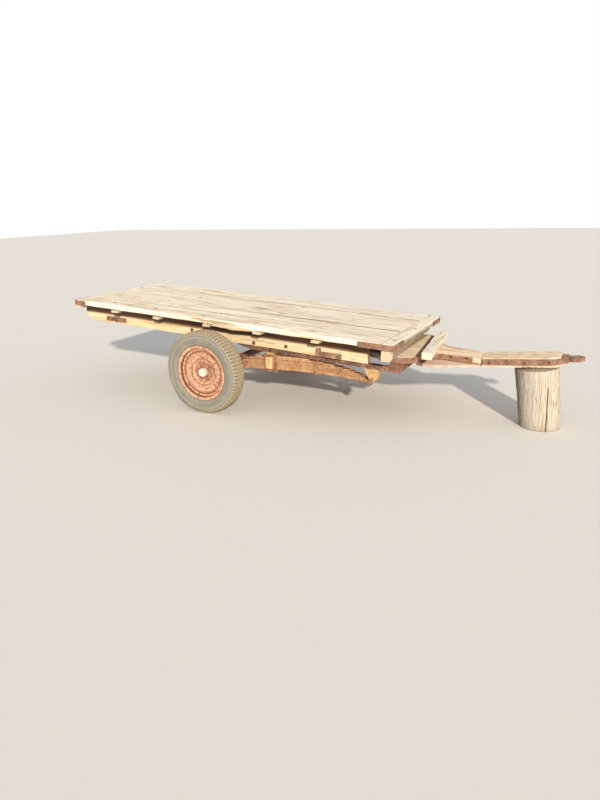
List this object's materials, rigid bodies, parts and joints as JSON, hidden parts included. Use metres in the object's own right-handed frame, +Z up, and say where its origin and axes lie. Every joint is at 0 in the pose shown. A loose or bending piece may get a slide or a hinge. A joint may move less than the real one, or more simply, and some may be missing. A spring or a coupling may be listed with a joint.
{
  "type": "flat hay wagon",
  "caption": "Flat-bed single-axle farm wagon with plank deck, leaf springs, disc wheels and a timber drawbar with a towing eye, parked on a log.",
  "frame": {"origin": "on the floor, under the middle of the bounding box, 588.4 mm ahead of the axle", "axes": "+X forward along the drawbar, +Y to the wagon's left, +Z up; the deck slopes down to the front as parked"},
  "size_m": [4.159, 1.6242, 0.8084],
  "materials": {
    "deck_wood": "weathered, bare",
    "frame_wood": "weathered, bare",
    "drawbar_wood": "weathered, bare",
    "log_wood": "barkless log",
    "chassis_steel": "rusted",
    "spring_steel": "rusted",
    "wrought_iron": "rusted",
    "wheel_steel": "rusted paint",
    "hub_steel": "old paint",
    "tyre": "dusty rubber"
  },
  "bodies": {
    "wagon": {"deck_board_1": "deck_wood", "deck_board_2": "deck_wood", "deck_board_3": "deck_wood", "deck_board_4": "deck_wood", "deck_board_5": "deck_wood", "deck_header_front": "deck_wood", "deck_header_rear": "deck_wood", "deck_battens": "frame_wood", "front_bolster": "frame_wood", "side_rail_left": "frame_wood", "side_rail_right": "frame_wood", "chassis_member_left": "chassis_steel", "chassis_member_right": "chassis_steel", "chassis_cross_front": "chassis_steel", "chassis_cross_middle": "chassis_steel", "drawbar_timber_left": "drawbar_wood", "drawbar_timber_right": "drawbar_wood", "drawbar_under_plank": "drawbar_wood", "drawbar_tongue": "drawbar_wood", "footboard": "deck_wood", "drawbar_strap_left": "wrought_iron", "drawbar_strap_right": "wrought_iron", "drawbar_nose_iron": "wrought_iron", "towing_eye": "wrought_iron", "corner_irons": "wrought_iron", "rail_irons": "wrought_iron", "leaf_spring_left": "spring_steel", "leaf_spring_right": "spring_steel", "spring_saddle_left": "spring_steel", "spring_saddle_right": "spring_steel", "spring_clamp_left": "spring_steel", "spring_clamp_right": "spring_steel", "spring_hanger_left": "spring_steel", "spring_hanger_right": "spring_steel", "spring_shackle_left": "spring_steel", "spring_shackle_right": "spring_steel", "axle": "spring_steel", "axle_clamp_left": "spring_steel", "axle_clamp_right": "spring_steel", "log_stand": "log_wood"},
    "wheel_left": {"tyre_left": "tyre", "wheel_rim_left": "wheel_steel", "wheel_hub_left": "hub_steel"},
    "wheel_right": {"tyre_right": "tyre", "wheel_rim_right": "wheel_steel", "wheel_hub_right": "hub_steel"}
  },
  "joints": [
    {"name": "wheel_left_spin", "type": "hinge", "parent": "wagon", "child": "wheel_left", "pos_m": [-0.5884, 0.736, 0.3275], "axis": [0, 1, 0], "continuous": true},
    {"name": "wheel_right_spin", "type": "hinge", "parent": "wagon", "child": "wheel_right", "pos_m": [-0.5884, -0.736, 0.3275], "axis": [0, 1, 0], "continuous": true}
  ]
}
